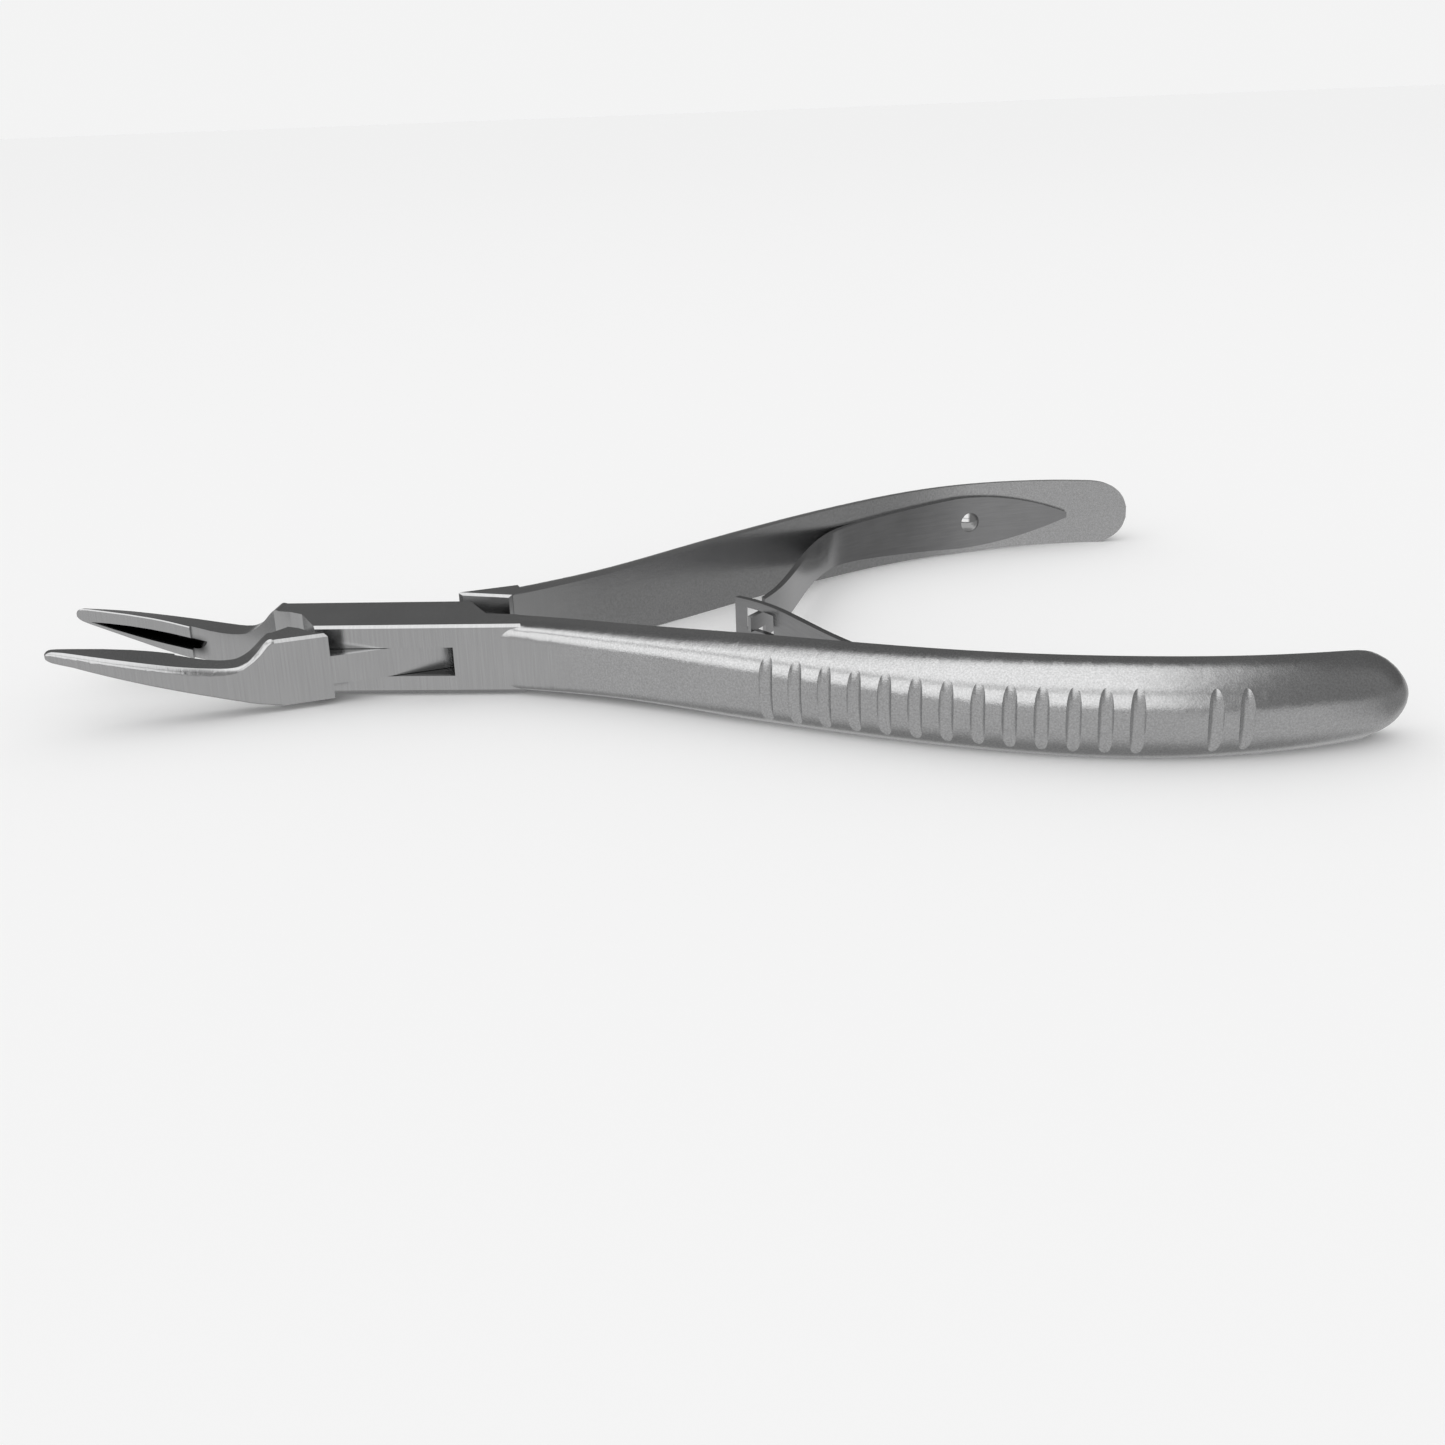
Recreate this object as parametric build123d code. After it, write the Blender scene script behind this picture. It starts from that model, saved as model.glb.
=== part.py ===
from build123d import *
import math
import os

# Spring-loaded box-joint pliers with hollow, upturned jaws.
# Millimetres and degrees. The pivot axis is Z through the origin, and the origin lies on the
# flat lower face of the box joint. +X runs along the box lever towards its handle.
# Each lever is drawn closed, with its jaw on -Y and its handle on +Y, about a mid plane at z = 0.
# The box lever is that shape mirrored in Y; the tongue lever is that shape turned open.

# Pivot and box joint
box_height = 8.2
box_half_depth = 5.0
open_angle = 24.4
edge_chamfer = 0.33
half_height = box_height / 2

# Slot through the box lever and the tongue of the other lever in it
slot_floor = -2.05
slot_roof = 1.4
slot_side_gap = 0.05
wall_near_x = 8.84
wall_far_x = 12.1
wall_far_y = 0.45
tongue_end_gap = 0.18
shoulder_front = (14.9, 0.9)
shoulder_back = (9.95, 4.5)
shoulder_chamfer = 0.3

# Pivot pin, pressed into both cheeks and ground flush
pin_radius = 2.0
tongue_bore_gap = 0.03

# Jaws, drawn from the tip to the root; each line gives (x, height) or (x, distance from the mating face)
jaw_tip_x = -38.1
jaw_root_x = -13.6
mating_gap = 0.08
heel_floor = -3.73
heel_chamfer = 0.35
rim_break = 0.12
jaw_section_count = 36
jaw_section_easing = 1.3
top_inner_line = [
    (-38.1, 4.6), (-37.9, 4.85), (-37.4, 5.03), (-36.0, 4.9), (-32.0, 4.34), (-28.0, 3.6),
    (-24.5, 2.7), (-22.0, 1.9), (-20.0, 1.45), (-18.4, 1.36), (-17.4, 1.6), (-16.2, 2.3),
    (-15.2, 3.25), (-14.4, 4.05), (-13.6, 4.1),
]
top_outer_line = [
    (-38.1, 4.55), (-37.9, 4.78), (-37.4, 4.92), (-36.0, 4.72), (-32.0, 3.93), (-28.0, 3.07),
    (-24.0, 2.23), (-20.0, 1.52), (-18.4, 1.4), (-17.4, 1.6), (-16.2, 2.3), (-15.2, 3.25),
    (-14.4, 4.05), (-13.6, 4.1),
]
top_width_line = [
    (-38.1, 0.42), (-37.8, 0.62), (-37.2, 0.82), (-36.0, 1.18), (-34.0, 1.95), (-32.0, 2.6),
    (-28.0, 3.6), (-24.0, 4.3), (-20.0, 4.52), (-17.0, 4.55), (-13.6, 4.65),
]
edge_out_line = [
    (-38.1, 0.12), (-37.8, 0.28), (-36.0, 0.4), (-28.0, 0.45), (-20.0, 0.45), (-13.6, 0.35),
]
edge_drop_line = [
    (-38.1, 0.15), (-37.6, 0.35), (-36.0, 0.55), (-32.0, 0.8), (-28.0, 0.88), (-22.0, 0.9),
    (-18.0, 0.55), (-16.4, 0.5), (-15.0, 0.95), (-14.2, 0.85), (-13.6, 0.35),
]
low_inner_line = [
    (-38.1, 4.0), (-37.9, 3.75), (-37.4, 3.42), (-36.0, 2.85), (-32.0, 1.33), (-28.0, -0.2),
    (-24.0, -1.5), (-20.0, -2.6), (-16.5, -3.4), (-13.6, -3.73),
]
low_outer_line = [
    (-38.1, 4.08), (-37.9, 3.92), (-37.4, 3.72), (-36.0, 3.3), (-32.0, 1.96), (-28.0, 0.63),
    (-24.0, -0.63), (-20.0, -1.94), (-16.5, -3.1), (-13.6, -3.73),
]
# Gouge hollow: (x, height) of its tip, its inner end and the bows between them
mouth_tip = (-36.7, 3.45)
mouth_top_bow = (-30.4, 2.68)
mouth_end_top = (-22.4, 0.7)
mouth_end_bow = (-22.9, -0.05)
mouth_end_low = (-24.4, -0.25)
mouth_low_bow = (-30.7, 1.45)
hollow_depth = 2.2
hollow_taper = 14
# Relief behind the cutting edges, in plan, for the box lever and the tongue lever
box_relief = [(-24.4, -0.53), (-18.2, -1.1), (-14.3, -1.55), (-12.1, -1.05), (-10.3, 0.0)]
tongue_relief = [(-24.4, -0.53), (-18.4, -1.1), (-15.6, -1.8), (-14.5, -2.4), (-11.6, -0.3)]

# Handles: the flat inner face follows this line, given as (x, y) away from the pivot
handle_line = [
    (15.4, 0.85), (28.0, 4.6), (45.0, 11.4), (66.0, 19.1), (86.0, 22.5), (101.0, 20.6), (111.0, 16.75),
]
# Size along the handle, each given as (part of its length, value)
half_width_line = [
    (0.0, 4.04), (0.16, 4.12), (0.33, 4.75), (0.53, 5.2), (0.72, 5.45), (0.88, 5.05), (1.0, 4.4),
]
thickness_line = [(0.0, 4.22), (0.16, 4.4), (0.33, 4.7), (0.53, 5.0), (0.72, 5.0), (0.88, 4.8), (1.0, 4.4)]
squareness_line = [(0.0, 7.0), (0.08, 5.6), (0.16, 4.3), (0.33, 2.8), (0.53, 2.3), (0.72, 2.2), (1.0, 2.1)]
section_count = 28
section_easing = 2.1
nose_part = 0.055
nose_power = 2.3
nose_end = 0.18
nose_depth_share = 0.65
section_points = 7

# Grip: rounded scallops across the outer face of each handle
groove_radius = 0.92
groove_depth = 0.46
groove_ring_radius = 14.0
long_run = {"first_x": 45.7, "pitch": 3.155, "count": 13}
short_run = {"first_x": 91.3, "pitch": 3.15, "count": 2}

# Leaf springs
spring_thickness = 0.8
leaf_half_width = 2.35
foot_gap = 0.02
foot_line_x = [102.8, 98.0, 93.0, 88.0, 83.0, 78.0, 73.0, 69.5]
windowed_free_line = [(64.6, 17.5), (59.6, 13.2), (49.1, -1.0), (44.2, -8.2), (40.6, -11.4)]
hooked_free_line = [(66.0, 18.2), (61.0, 13.8), (50.4, -1.2), (44.6, -8.3), (40.6, -11.4)]
foot_tip_x = 103.4
foot_bow = (97.0, 2.3)
foot_wide = (86.0, 3.7)
leaf_side = [(74.0, 2.95), (64.0, 2.45)]
leaf_straight_x = 50.0
windowed_end_x = 39.0
hooked_end_x = 41.6
rivet_x = 88.0
window_half_width = 1.35
window_centre = (43.6, -9.0)
window_length = 3.4
hook_half_width = 0.9
hook_start_x = 44.3

# Rivets that hold the springs
rivet_head_radius = 1.4
rivet_head_height = 0.7
rivet_shank_radius = 0.8
rivet_shank_length = 3.0
rivet_hole_gap = 0.05

# Cutters and blanks reach past what they cut
overrun = 1.0
cutter_reach = 60.0


def plan(points, low, high):
    """Prism with a plan outline, from one height to another."""
    outline = make_face(Polyline(*points, close=True))
    return Pos(0, 0, low) * extrude(outline, high - low)


def edges_near(solid, y, z):
    """Edges along a long corner of a block, found by the depth and height of their middle."""
    return [
        edge
        for edge in solid.edges()
        if abs(edge.center().Y - y) < 0.01 and abs(edge.center().Z - z) < 0.01
    ]


def chamfered_block(points):
    """Full-height block whose long outer edges, on the faces beyond the half depth, are broken."""
    block = plan(points, -half_height, half_height)
    rims = []
    for y in (-box_half_depth, box_half_depth):
        for z in (-half_height, half_height):
            rims += edges_near(block, y, z)
    return chamfer(rims, edge_chamfer)


def handle_spine():
    """Line of the flat inner face of the handle, in plan."""
    return Spline(*handle_line)


def value_at(line, place):
    """Smooth curve through the points of a size line."""
    count = len(line)
    step = next(number for number in range(1, count) if place <= line[number][0])
    slopes = []
    for number in (step - 1, step):
        before = line[max(number - 1, 0)]
        after = line[min(number + 1, count - 1)]
        slopes.append((after[1] - before[1]) / (after[0] - before[0]))
    (start, low), (end, high) = line[step - 1], line[step]
    span = end - start
    share = (place - start) / span
    blend = share * share * (3 - 2 * share)
    rise = slopes[0] * share * (1 - share) ** 2 - slopes[1] * share * share * (1 - share)
    return low + (high - low) * blend + rise * span


def nose(place):
    """Round closing of the handle's end."""
    into = (place - (1 - nose_part)) / nose_part
    return 1.0 if into <= 0 else max(max(1 - into ** nose_power, 0) ** (1 / nose_power), nose_end)


def handle_section(spine, place):
    """D-shaped section: flat on the inner face, rounded on the outer."""
    spot = spine @ place
    along = spine % place
    outward = Vector(-along.Y, along.X, 0)
    closing = nose(place)
    half_width = value_at(half_width_line, place) * closing
    thickness = value_at(thickness_line, place) * (1 - nose_depth_share * (1 - closing))
    squareness = value_at(squareness_line, place)
    curve_points = [(0, half_width)]
    for step in range(1, section_points + 1):
        turn = math.pi / 2 - math.pi * step / (section_points + 1)
        out = thickness * math.cos(turn) ** (2 / squareness)
        side = math.copysign(abs(math.sin(turn)) ** (2 / squareness), math.sin(turn))
        curve_points.append((out, half_width * side))
    curve_points.append((0, -half_width))
    outer = Spline(*curve_points, tangents=[(1, 0), (-1, 0)])
    inner = Line((0, -half_width), (0, half_width))
    return Plane(spot, x_dir=outward, z_dir=along) * make_face([inner, outer])


def groove(spine, x):
    """Scallop cutter: part of a ring that dips into the outer face at x and fades out at both ends."""
    place = place_at_x(spine, x)
    lean = (spine % place).Y * value_at(thickness_line, place)
    place = place_at_x(spine, x + lean)
    along = spine % place
    outward = Vector(-along.Y, along.X, 0)
    deepest = value_at(thickness_line, place) - groove_depth
    centre = spine @ place + outward * (deepest + groove_radius - groove_ring_radius)
    return Plane(centre, x_dir=outward, z_dir=along) * Torus(groove_ring_radius, groove_radius)


def place_at_x(spine, x):
    """Part of the spine's length at which it reaches x."""
    low, high = 0.0, 1.0
    for _ in range(30):
        middle = (low + high) / 2
        if (spine @ middle).X < x:
            low = middle
        else:
            high = middle
    return low


def handle():
    """Curved D-section handle with its scalloped grip."""
    spine = handle_spine()
    places = [1 - (1 - step / section_count) ** section_easing for step in range(section_count + 1)]
    body = loft([handle_section(spine, place) for place in places])
    cutters = []
    for run in (long_run, short_run):
        cutters += [groove(spine, run["first_x"] + number * run["pitch"]) for number in range(run["count"])]
    return body - cutters - rivet_hole(rivet_shank_radius)


def jaw_section(x):
    """Section across a jaw: flat mating face, top falling outwards, rounded outer edge."""
    top_inner = value_at(top_inner_line, x)
    low_inner = value_at(low_inner_line, x)
    low_outer = value_at(low_outer_line, x)
    shoulder = (value_at(top_width_line, x), value_at(top_outer_line, x))
    side = shoulder[0] + value_at(edge_out_line, x)
    drop = shoulder[1] - value_at(edge_drop_line, x)
    bulge = ((shoulder[0] + 2 * side) / 3, (2 * shoulder[1] + drop) / 3)
    rounded = ThreePointArc(shoulder, bulge, (side, drop))
    face = mating_gap
    rest = Polyline(
        (side, drop), (side, low_outer + rim_break), (side - rim_break, low_outer),
        (face + rim_break, low_inner), (face, low_inner + rim_break), (face, top_inner - rim_break),
        (face + rim_break, top_inner), shoulder,
    )
    return Plane((x, 0, 0), x_dir=(0, -1, 0), z_dir=(-1, 0, 0)) * make_face([rounded, rest])


def mouth():
    """Gouge hollow in the mating face, sharp at the tip and round at its inner end."""
    upper = ThreePointArc(mouth_tip, mouth_top_bow, mouth_end_top)
    inner = ThreePointArc(mouth_end_top, mouth_end_bow, mouth_end_low)
    lower = ThreePointArc(mouth_end_low, mouth_low_bow, mouth_tip)
    opening = Plane.XZ * make_face([upper, inner, lower])
    return extrude(opening, hollow_depth + mating_gap, taper=hollow_taper)


def jaw():
    """Upturned jaw, hollowed on the mating face, from its tip to its root."""
    reach = jaw_root_x - jaw_tip_x
    steps = [(step / jaw_section_count) ** jaw_section_easing for step in range(jaw_section_count + 1)]
    return loft([jaw_section(jaw_tip_x + reach * step) for step in steps]) - mouth()


def relief(points):
    """Cutter that sets the mating face back between the hollow and the box."""
    (first_x, _), (last_x, _) = points[0], points[-1]
    outline = [(first_x, overrun), *points, (last_x, overrun)]
    return plan(outline, -half_height - overrun, half_height + overrun)


def pin_hole(radius):
    return Cylinder(radius, box_height + 2)


def slot():
    """Opening through the box for the tongue, in the box lever's own closed drawing."""
    lean = (wall_far_x - wall_near_x) / (wall_far_y + box_half_depth)
    reach = box_half_depth + 1
    near = wall_near_x - lean
    far = wall_far_x + lean * (1 - wall_far_y)
    return plan(
        [(near, -reach), (far, 1), (far, reach), (-near, reach), (-far, -1), (-far, -reach)],
        slot_floor, slot_roof,
    )


def box_lever():
    """Forging with the slotted box, its handle and the jaw on the far side."""
    block = chamfered_block(
        [
            (jaw_root_x, -box_half_depth), (8.8, -box_half_depth), (12.0, 0.4), (15.9, 0.98),
            (17.0, box_half_depth), (-7.25, box_half_depth), (-10.3, 0.0), (jaw_root_x, 0.0),
        ]
    )
    body = jaw() + block - relief(box_relief) + handle()
    body = mirror(body, about=Plane.XZ)
    return body - slot() - pin_hole(pin_radius)


def tongue_lever():
    """Forging with the tongue, its handle and the jaw on the near side, turned open."""
    lean = (wall_far_x - wall_near_x) / (wall_far_y + box_half_depth)
    near = wall_near_x - tongue_end_gap
    far = wall_far_x - tongue_end_gap
    tongue = plan(
        [
            (near, -box_half_depth), (far, wall_far_y), (12.8, 3.4), (10.4, box_half_depth),
            (-near, box_half_depth), (-far, -wall_far_y), (-10.5, -2.0), (-8.5, -box_half_depth),
        ],
        slot_floor + slot_side_gap, slot_roof - slot_side_gap,
    )
    heel = plan(
        [
            (jaw_root_x, -box_half_depth), (-7.6, -box_half_depth), (-9.25, -3.5), (-10.45, -1.2),
            (-11.6, -mating_gap), (jaw_root_x, -mating_gap),
        ],
        heel_floor, half_height,
    )
    heel = chamfer(edges_near(heel, -box_half_depth, half_height), heel_chamfer)
    front_middle_y = (shoulder_front[1] + shoulder_back[1]) / 2
    shoulder = plan(
        [
            shoulder_front, shoulder_back, (9.6, box_half_depth), (17.0, box_half_depth), (17.0, 1.4),
            (16.0, 1.05),
        ],
        -half_height, half_height,
    )
    shoulder = chamfer(edges_near(shoulder, front_middle_y, half_height), shoulder_chamfer)
    body = jaw() + heel - relief(tongue_relief) + tongue + shoulder + handle()
    body -= pin_hole(pin_radius + tongue_bore_gap)
    return Rot(0, 0, open_angle) * body


def spring_line(free_line):
    """Plan line of a leaf spring: along the handle's inner face, then across to its free tip."""
    spine = handle_spine()
    points = []
    for x in foot_line_x:
        place = place_at_x(spine, x)
        along = spine % place
        inward = Vector(along.Y, -along.X, 0)
        points.append(spine @ place + inward * (spring_thickness / 2 + foot_gap))
    return Spline(*points, *free_line)


def leaf_blank(free_line, end_x):
    """Bent strip, wide at the foot and pointed beyond the rivet."""
    strip = extrude(trace(spring_line(free_line), spring_thickness), box_height, both=True)
    crown = ThreePointArc((foot_tip_x, 0), foot_bow, foot_wide)
    side = Spline(foot_wide, *leaf_side, (leaf_straight_x, leaf_half_width))
    end = Polyline((leaf_straight_x, leaf_half_width), (end_x, leaf_half_width), (end_x, 0), (foot_tip_x, 0))
    half = make_face([crown, side, end])
    outline = extrude(Plane.XZ * half, cutter_reach, both=True)
    return strip & (outline + mirror(outline, about=Plane.XY))


def windowed_spring():
    leaf = leaf_blank(windowed_free_line, windowed_end_x)
    window = Pos(*window_centre, 0) * Box(window_length, 2 * window_length, 2 * window_half_width)
    leaf = leaf - window - rivet_hole(rivet_shank_radius + rivet_hole_gap)
    return mirror(leaf, about=Plane.XZ)


def hooked_spring():
    leaf = leaf_blank(hooked_free_line, hooked_end_x)
    trim_length = hook_start_x - hooked_end_x + overrun
    for side in (-1, 1):
        middle = side * (hook_half_width + leaf_half_width)
        trim = Box(trim_length, cutter_reach, 2 * leaf_half_width)
        leaf -= Pos(hook_start_x - trim_length / 2, 0, middle) * trim
    return Rot(0, 0, open_angle) * (leaf - rivet_hole(rivet_shank_radius + rivet_hole_gap))


def rivet_frame():
    """Frame on the handle's inner face at the rivet, its Z pointing away from the handle."""
    spine = handle_spine()
    place = place_at_x(spine, rivet_x)
    along = spine % place
    return Plane(spine @ place, x_dir=along, z_dir=Vector(along.Y, -along.X, 0)).location


def rivet_hole(radius):
    return rivet_frame() * Cylinder(radius, 2 * rivet_shank_length)


def rivet():
    """Domed rivet, set through the spring's foot into the handle."""
    ball_radius = (rivet_head_radius ** 2 + rivet_head_height ** 2) / (2 * rivet_head_height)
    ball = Pos(0, 0, rivet_head_height - ball_radius) * Sphere(ball_radius)
    head = ball & Pos(0, 0, rivet_head_height) * Cylinder(rivet_head_radius * 2, 2 * rivet_head_height)
    seat = spring_thickness + 2 * foot_gap
    shank_length = rivet_shank_length + seat
    shank = Pos(0, 0, -shank_length / 2) * Cylinder(rivet_shank_radius, shank_length)
    return rivet_frame() * Pos(0, 0, seat) * (head + shank)


lift = Pos(0, 0, half_height)
parts = {
    "box_lever": box_lever(),
    "tongue_lever": tongue_lever(),
    "pivot_pin": Cylinder(pin_radius, box_height),
    "windowed_spring": windowed_spring(),
    "hooked_spring": hooked_spring(),
    "box_side_rivet": mirror(rivet(), about=Plane.XZ),
    "tongue_side_rivet": Rot(0, 0, open_angle) * rivet(),
}

os.makedirs("parts", exist_ok=True)
for name, shape in parts.items():
    export_step(lift * shape, f"parts/{name}.step")
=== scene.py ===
import math

import bpy
from mathutils import Matrix, Vector


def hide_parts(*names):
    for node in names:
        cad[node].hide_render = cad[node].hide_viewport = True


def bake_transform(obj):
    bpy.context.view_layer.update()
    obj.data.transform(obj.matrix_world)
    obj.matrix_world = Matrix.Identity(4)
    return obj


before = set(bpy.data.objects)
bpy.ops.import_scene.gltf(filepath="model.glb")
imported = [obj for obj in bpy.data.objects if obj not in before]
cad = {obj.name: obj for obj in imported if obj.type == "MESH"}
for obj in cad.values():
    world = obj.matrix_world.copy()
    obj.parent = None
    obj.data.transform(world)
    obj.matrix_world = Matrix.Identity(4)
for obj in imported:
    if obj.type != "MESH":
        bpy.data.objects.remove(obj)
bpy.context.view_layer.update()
openAngle = math.radians(24.4)  # how far the tongue lever stands open at rest
print("frame loaded")


class Wire:
    # one node output; Python operators on it add Math nodes
    def __init__(self, tree, out=None):
        self.tree = tree
        self.out = out

    def node(self, kind, settings=None, inputs=None, output=0):
        made = self.tree.nodes.new(kind)
        for name, value in (settings or {}).items():
            setattr(made, name, value)
        for name, value in (inputs or {}).items():
            if isinstance(value, Wire):
                self.tree.links.new(value.out, made.inputs[name])
            else:
                made.inputs[name].default_value = value
        return Wire(self.tree, made.outputs[output])

    def maths(self, operation, first, second=0.0):
        return self.node("ShaderNodeMath", {"operation": operation}, {0: first, 1: second})

    def __add__(self, other):
        return self.maths("ADD", self, other)

    def __radd__(self, other):
        return self.maths("ADD", other, self)

    def __sub__(self, other):
        return self.maths("SUBTRACT", self, other)

    def __rsub__(self, other):
        return self.maths("SUBTRACT", other, self)

    def __mul__(self, other):
        return self.maths("MULTIPLY", self, other)

    def __rmul__(self, other):
        return self.maths("MULTIPLY", other, self)

    def between(self, low, high):
        # 0 below low, 1 above high, smooth in between
        return self.node("ShaderNodeMapRange", {"interpolation_type": "SMOOTHSTEP"},
                         {"Value": self, "From Min": low, "From Max": high})

    def near(self, middle, width):
        # 1 at middle, 0 further than width from it
        return 1 - (self - middle).size().between(0, width)

    def towards(self, target, share):
        return self + (target - self) * share

    def size(self):
        return self.maths("ABSOLUTE", self)

    def axes(self):
        return [self.node("ShaderNodeSeparateXYZ", None, {"Vector": self}, output=axis) for axis in "XYZ"]

    def grey(self, green=1.0, blue=1.0):
        # a near-grey colour, with green and blue as shares of red
        return self.node("ShaderNodeCombineColor", None, {0: self, 1: self * green, 2: self * blue})

    def bump(self, strength, distance):
        return self.node("ShaderNodeBump", None, {"Height": self, "Strength": strength, "Distance": distance})

    def feed(self, node, socket):
        self.tree.links.new(self.out, node.inputs[socket])


def newMaterial(name):
    material = bpy.data.materials.new(name)
    material.use_nodes = True
    tree = material.node_tree
    shader = tree.nodes["Principled BSDF"]
    return material, Wire(tree), shader


def leverPlace(start, turn):
    # object coordinates, turned about the pivot so that the lever's own length runs along X
    place = start.node("ShaderNodeTexCoord", output="Object")
    return place.node("ShaderNodeMapping", None, {"Vector": place, "Rotation": (0, 0, -turn)})


def stretched(place, scale, detail=2.0):
    moved = place.node("ShaderNodeMapping", None, {"Vector": place, "Scale": scale})
    return moved.node("ShaderNodeTexNoise", None, {"Vector": moved, "Scale": 1.0, "Detail": detail})


forgedLook = {
    "tone": 0.6,
    "toneCloud": 0.06,
    "lineTone": 0.1,
    "grainTone": 0.36,
    "coolTint": (1.002, 1.006),
    "roughness": 0.2,
    "roughnessCloud": 0.08,
    "handleRoughness": 0.03,
    "handleStart": (0.016, 0.03),
    "lineScale": (7000, 700, 160),
    "lineDepth": 0.45,
    "grainScale": (5000, 5000, 5000),
    "grainDepth": 0.85,
    "waveScale": (90, 300, 700),
    "waveDepth": 1.1,
    "cloudScale": (160, 160, 160),
    "bumpStrength": 0.5,
    "bumpDistance": 0.00002,
    # painted shade for the gouge hollows
    "hollowShadeTone": 0.06,
    # painted shade for the slot through the box
    "slotShadeTone": 0.12,
}

# where the painted shade in the gouge hollows lies
hollowShadeLook = {
    "tipX": 0.0367,  # the gouge's middle line falls from here towards the box
    "tipHeight": 0.00755,
    "fall": -0.254,
    "halfHeight": 0.0016,
    "outerEnd": (-0.0368, -0.0360),
    "innerEnd": (-0.0236, -0.0222),
    "nearFace": (0.0001, 0.0006),
    "narrowX": 0.0375,  # the jaw is thin near its tip, so the painted shade is shallow there
    "widening": 0.3,
    "narrowDepth": 0.0002,
    "fade": 0.0004,
    "deepest": (0.0022, 0.0025),
}


def jawHollowShade(x, y, z, side):
    # 1 on the walls of the gouge, where shade is painted dark into the colour; side is the way the jaw lies from
    # its mating face
    look = hollowShadeLook
    depth = y * side
    centre = (x + look["tipX"]) * look["fall"] + look["tipHeight"]
    inBand = (z - centre).near(0.0, look["halfHeight"])
    inLength = x.between(*look["outerEnd"]) * (1 - x.between(*look["innerEnd"]))
    room = (x + look["narrowX"]) * look["widening"] + look["narrowDepth"]
    inDepth = depth.between(*look["nearFace"]) * (1 - (depth - room).between(0.0, look["fade"]))
    inDepth = inDepth * (1 - depth.between(*look["deepest"]))
    return inBand * inLength * inDepth


# where the painted shade in the slot through the box lies
slotShadeLook = {
    "floor": (0.0017, 0.0021),
    "roof": (0.0055, 0.0058),
    "side": (0.0040, 0.0049),
    "end": (0.0135, 0.0145),
    "shoulderSlope": 0.727,
    "shoulder": (0.0102, 0.0110),
}


def slotInsideShade(x, y, z):
    # 1 deep in the slot through the box, where shade is painted dark into the colour
    look = slotShadeLook
    inHeight = z.between(*look["floor"]) * (1 - z.between(*look["roof"]))
    inPlan = (1 - y.size().between(*look["side"])) * (1 - x.size().between(*look["end"]))
    beforeShoulder = 1 - (y + x * look["shoulderSlope"]).between(*look["shoulder"])
    return inHeight * inPlan * beforeShoulder


def forgedSteel(name, turn, jawSide):
    # ground across on the box and jaws, tumbled to a fine sandy satin on the rounded handle
    look = forgedLook
    material, start, shader = newMaterial(name)
    place = leverPlace(start, turn)
    x, y, z = place.axes()
    onHandle = x.between(*look["handleStart"])
    lines = stretched(place, look["lineScale"], 1.0)
    grain = stretched(place, look["grainScale"])
    wave = stretched(place, look["waveScale"])
    cloud = stretched(place, look["cloudScale"], 3.0)
    roughness = look["roughness"] + (cloud - 0.5) * look["roughnessCloud"] + onHandle * look["handleRoughness"]
    roughness.feed(shader, "Roughness")
    tone = look["tone"] + (cloud - 0.5) * look["toneCloud"] + (lines - 0.5) * (1 - onHandle) * look["lineTone"]
    tone = tone + onHandle * (grain - 0.5) * look["grainTone"]
    if jawSide:
        # painted shade: the gouge hollows are darkened in the base colour
        tone = tone.towards(look["hollowShadeTone"], jawHollowShade(x, y, z, jawSide))
        # painted shade: the inside of the slot through the box is darkened in the base colour
        tone = tone.towards(look["slotShadeTone"], slotInsideShade(x, y, z))
    green, blue = look["coolTint"]
    tone.grey(green, blue).feed(shader, "Base Color")
    shader.inputs["Metallic"].default_value = 1.0
    height = lines * (1 - onHandle) * look["lineDepth"] + grain * onHandle * look["grainDepth"]
    height = height + wave * onHandle * look["waveDepth"]
    height.bump(look["bumpStrength"], look["bumpDistance"]).feed(shader, "Normal")
    return material


springLook = {
    "tone": 0.37,
    "toneCloud": 0.08,
    "toneBrush": 0.08,
    "coolTint": (1.0, 1.01),
    "roughness": 0.2,
    "roughnessCloud": 0.1,
    "roughnessBrush": 0.06,
    "brushScale": (260, 260, 5200),
    "brushDepth": 0.5,
    "cloudScale": (260, 260, 260),
    "bumpStrength": 0.5,
    "bumpDistance": 0.00002,
}


def springSteel(name, turn):
    # rolled strip, brushed along its length
    look = springLook
    material, start, shader = newMaterial(name)
    place = leverPlace(start, turn)
    brush = stretched(place, look["brushScale"], 1.0)
    cloud = stretched(place, look["cloudScale"])
    roughness = look["roughness"] + (cloud - 0.5) * look["roughnessCloud"] + (brush - 0.5) * look["roughnessBrush"]
    roughness.feed(shader, "Roughness")
    tone = look["tone"] + (cloud - 0.5) * look["toneCloud"] + (brush - 0.5) * look["toneBrush"]
    green, blue = look["coolTint"]
    tone.grey(green, blue).feed(shader, "Base Color")
    shader.inputs["Metallic"].default_value = 1.0
    (brush * look["brushDepth"]).bump(look["bumpStrength"], look["bumpDistance"]).feed(shader, "Normal")
    return material


rivetLook = {
    "tone": 0.66,
    "toneCloud": 0.08,
    "roughness": 0.14,
    "roughnessCloud": 0.12,
    "cloudScale": (900, 900, 900),
}


def rivetSteel(name):
    # polished head with faint handling marks
    look = rivetLook
    material, start, shader = newMaterial(name)
    cloud = stretched(leverPlace(start, 0.0), look["cloudScale"], 3.0)
    (look["roughness"] + (cloud - 0.5) * look["roughnessCloud"]).feed(shader, "Roughness")
    tone = look["tone"] + (cloud - 0.5) * look["toneCloud"]
    tone.grey().feed(shader, "Base Color")
    shader.inputs["Metallic"].default_value = 1.0
    return material


def paint(obj, material):
    obj.data.materials.clear()
    obj.data.materials.append(material)


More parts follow.
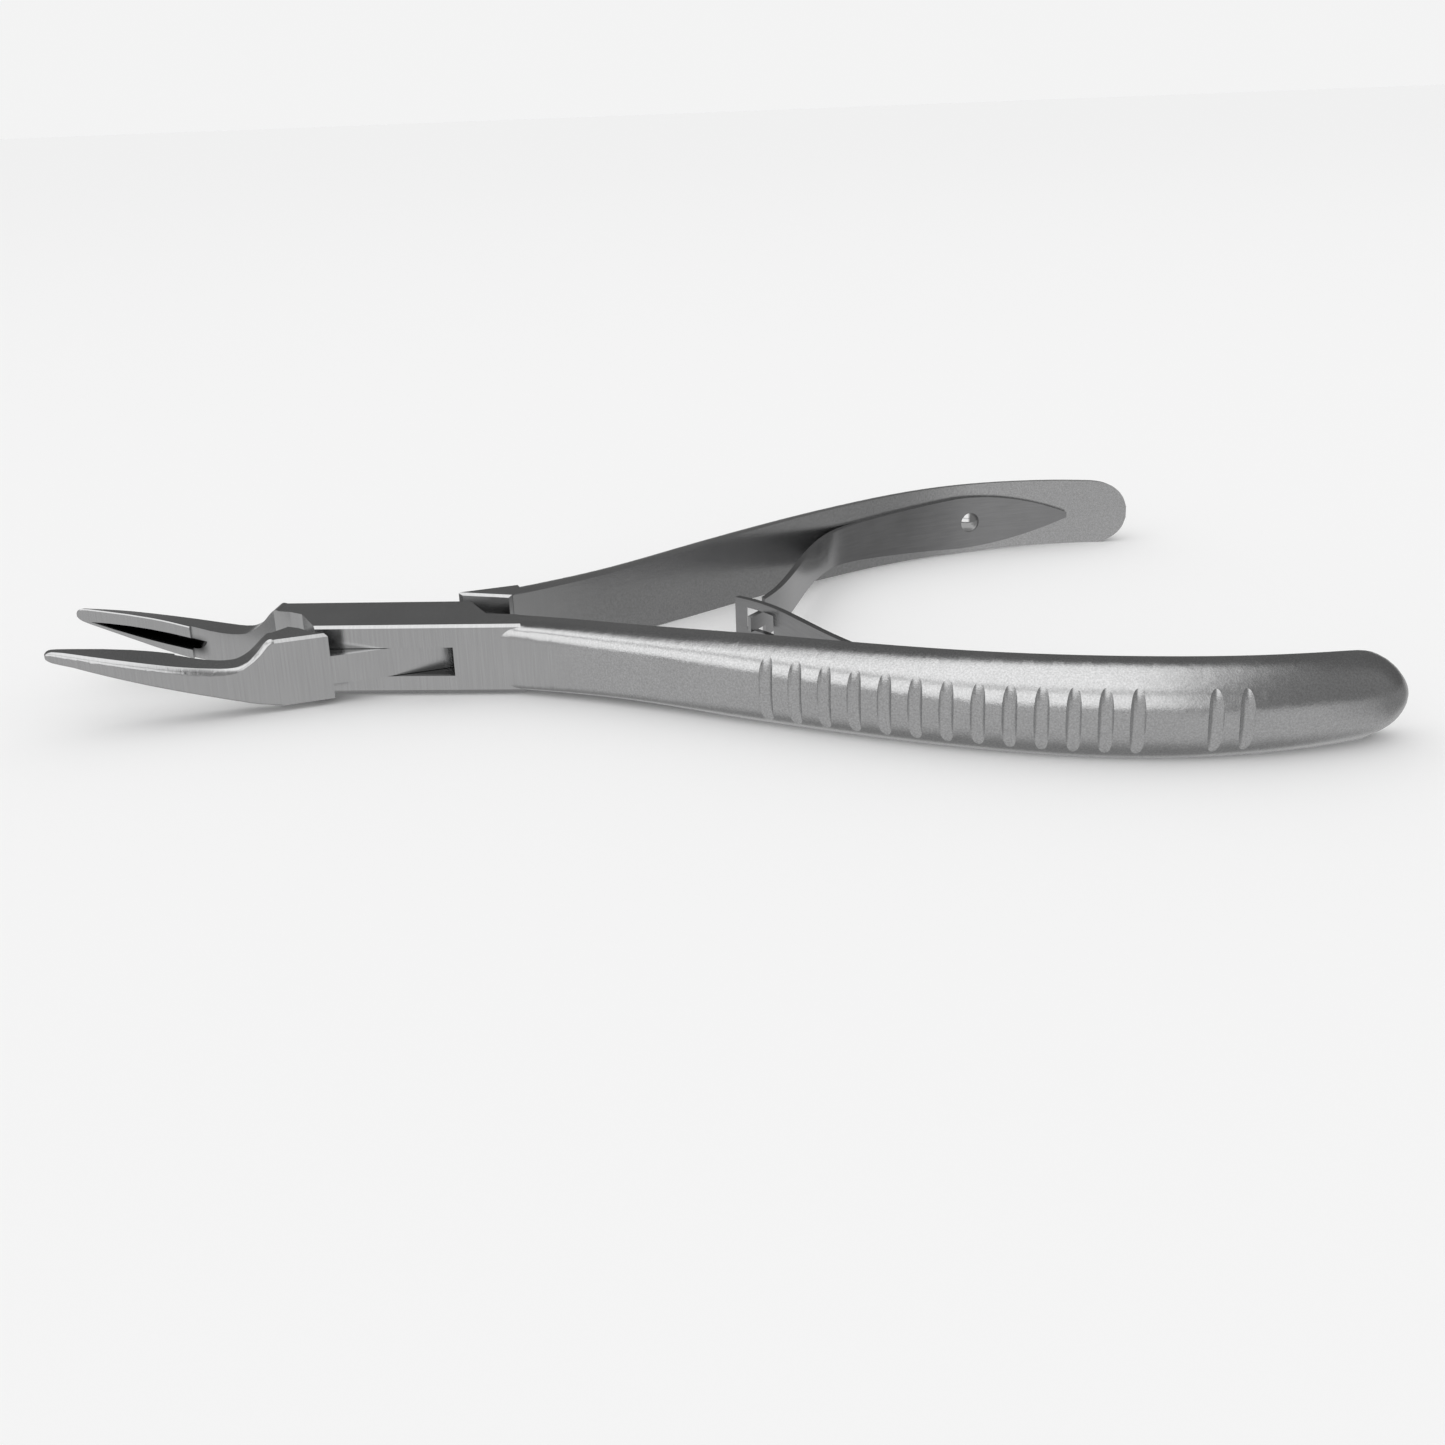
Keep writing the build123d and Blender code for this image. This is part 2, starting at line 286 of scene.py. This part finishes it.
paint(cad["box_lever"], forgedSteel("boxLeverSteel", 0.0, 1))
paint(cad["tongue_lever"], forgedSteel("tongueLeverSteel", openAngle, -1))
paint(cad["pivot_pin"], forgedSteel("pinSteel", 0.0, 0))
rivetMaterial = rivetSteel("polishedRivet")
paint(cad["box_side_rivet"], rivetMaterial)
paint(cad["tongue_side_rivet"], rivetMaterial)
print("forgings and rivets finished")


bendLook = {
    "mergeDistance": 1e-6,
    "start": Vector((0.0695, 0.0195, 0.0041)),  # where a leaf leaves its handle, in its lever's closed place
    "end": Vector((0.0570, 0.0098, 0.0041)),
    "cuts": 10,
    "smoothAngle": math.radians(35),
}


def bendingSpring(node, bendStart, bendEnd, material):
    # a whole copy of the leaf, cut across finely where it flexes
    look = bendLook
    bpy.ops.object.select_all(action="DESELECT")
    source = cad[node]
    spring = source.copy()
    spring.data = source.data.copy()
    spring.name = node + "Leaf"
    bpy.context.scene.collection.objects.link(spring)
    spring.parent = None
    spring.data.transform(source.matrix_world)
    spring.matrix_world = Matrix.Identity(4)
    spring.select_set(True)
    bpy.context.view_layer.objects.active = spring
    bpy.ops.object.mode_set(mode="EDIT")
    bpy.ops.mesh.select_all(action="SELECT")
    bpy.ops.mesh.remove_doubles(threshold=look["mergeDistance"])
    bpy.ops.mesh.customdata_custom_splitnormals_clear()
    bpy.ops.mesh.normals_make_consistent(inside=False)
    step = (bendEnd - bendStart) / look["cuts"]
    for number in range(look["cuts"] + 1):
        bpy.ops.mesh.select_all(action="SELECT")
        bpy.ops.mesh.bisect(plane_co=bendStart + step * number, plane_no=step.normalized())
    bpy.ops.object.mode_set(mode="OBJECT")
    bpy.ops.object.shade_smooth_by_angle(angle=look["smoothAngle"])
    paint(spring, material)
    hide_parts(node)
    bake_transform(spring)


mirrorY = Matrix.Scale(-1, 3, (0, 1, 0))
opened = Matrix.Rotation(openAngle, 3, "Z")
leaves = (
    ("windowed_spring", "box_half", "box_leaf", mirrorY, "windowedSpringSteel", 0.0),
    ("hooked_spring", "tongue_half", "tongue_leaf", opened, "hookedSpringSteel", openAngle),
)
for node, lever, leaf, place, steelName, turn in leaves:
    material = springSteel(steelName, turn)
    bendingSpring(node, place @ bendLook["start"], place @ bendLook["end"], material)
print("springs made")


floorLook = {"drop": -0.0004, "size": 8.0, "tone": 0.9}


def makeStage():
    look = floorLook
    bpy.ops.object.select_all(action="DESELECT")
    bpy.ops.mesh.primitive_plane_add(size=look["size"], location=(0, 0, look["drop"]))
    floor = bpy.context.object
    floor.name = "studioFloor"
    material, start, shader = newMaterial("paleFloor")
    tone = look["tone"]
    shader.inputs["Base Color"].default_value = (tone, tone, tone, 1)
    shader.inputs["Roughness"].default_value = 1.0
    shader.inputs["Specular IOR Level"].default_value = 0.0
    floor.data.materials.append(material)
    floor.visible_glossy = False  # the steel mirrors the studio, not the table


lampLook = {
    "energy": 0.25,
    "size": 0.9,
    "height": 0.75,
    "places": ((-0.35, -0.35), (0.45, 0.1)),
    "aim": (0.04, 0, 0),
}


def makeLamps():
    # two broad soft lamps that whiten the table; the steel takes its light from the studio around it
    look = lampLook
    for side, depth in look["places"]:
        bpy.ops.object.light_add(type="AREA", location=(side, depth, look["height"]))
        lamp = bpy.context.object
        lamp.data.energy = look["energy"]
        lamp.data.size = look["size"]
        lamp.visible_glossy = False
        way = Vector(look["aim"]) - lamp.location
        lamp.rotation_euler = way.to_track_quat("-Z", "Y").to_euler()


worldLook = {
    "seen": 0.9,  # what the camera sees past the table
    "table": 0.97,  # what lights the table
    "front": 1.25,  # the rest is what the steel mirrors
    "stripe": 0.6,
    "stripePlace": (0.6, 0.12),
    "right": 0.2,
    "rightStart": (0.05, 0.5),
    "far": 0.12,
    "farStart": (-0.15, 0.3),
    "farTop": (0.8, 0.97),
    "horizon": 0.2,
    "horizonWidth": 0.09,
    "horizonBlend": 0.05,
    "below": 0.52,
    "belowRight": 0.26,
    "belowRightStart": (0.7, 0.92),
    "straightDown": 0.27,
    "downStart": (-0.95, -0.7),
}


def makeWorld():
    look = worldLook
    world = bpy.data.worlds.new("softStudio")
    bpy.context.scene.world = world
    world.use_nodes = True
    background = world.node_tree.nodes["Background"]
    background.inputs["Color"].default_value = (1, 1, 1, 1)
    start = Wire(world.node_tree)
    x, y, z = start.node("ShaderNodeTexCoord", output="Generated").axes()
    above = x * 0 + look["front"]
    above = above.towards(look["stripe"], z.near(*look["stripePlace"]))
    above = above.towards(look["right"], x.between(*look["rightStart"]))
    above = above.towards(look["far"], y.between(*look["farStart"]) * (1 - z.between(*look["farTop"])))
    below = x * 0 + look["below"]
    below = below.towards(look["belowRight"], x.between(*look["belowRightStart"]))
    below = below.towards(look["straightDown"], 1 - z.between(*look["downStart"]))
    blend = look["horizonBlend"]
    mirrored = below.towards(above, z.between(-blend, blend))
    mirrored = mirrored.towards(look["horizon"], z.near(0.0, look["horizonWidth"]))
    isCamera = start.node("ShaderNodeLightPath", output="Is Camera Ray")
    isGlossy = start.node("ShaderNodeLightPath", output="Is Glossy Ray")
    light = (x * 0 + look["table"]).towards(mirrored, isGlossy).towards(look["seen"], isCamera)
    light.feed(background, "Strength")


cameraLook = {
    "place": (0.05792, -0.19082, 0.06562),
    "turn": 5.57,
    "pitch": 20.43,
    "roll": -2.26,
    "lens": 42.86,
    "sensor": 36.0,
    "clipStart": 0.01,
}


def makeCamera():
    look = cameraLook
    data = bpy.data.cameras.new("viewCamera")
    data.lens = look["lens"]
    data.sensor_width = look["sensor"]
    data.clip_start = look["clipStart"]
    camera = bpy.data.objects.new("viewCamera", data)
    bpy.context.scene.collection.objects.link(camera)
    turn = Matrix.Rotation(math.radians(look["turn"]), 4, "Z")
    tilt = Matrix.Rotation(math.radians(90 - look["pitch"]), 4, "X")
    roll = Matrix.Rotation(math.radians(look["roll"]), 4, "Z")
    camera.matrix_world = Matrix.Translation(look["place"]) @ turn @ tilt @ roll
    bpy.context.scene.camera = camera


makeStage()
makeLamps()
makeWorld()
makeCamera()
bpy.context.scene.view_settings.view_transform = "Standard"
print("table, light and camera set")
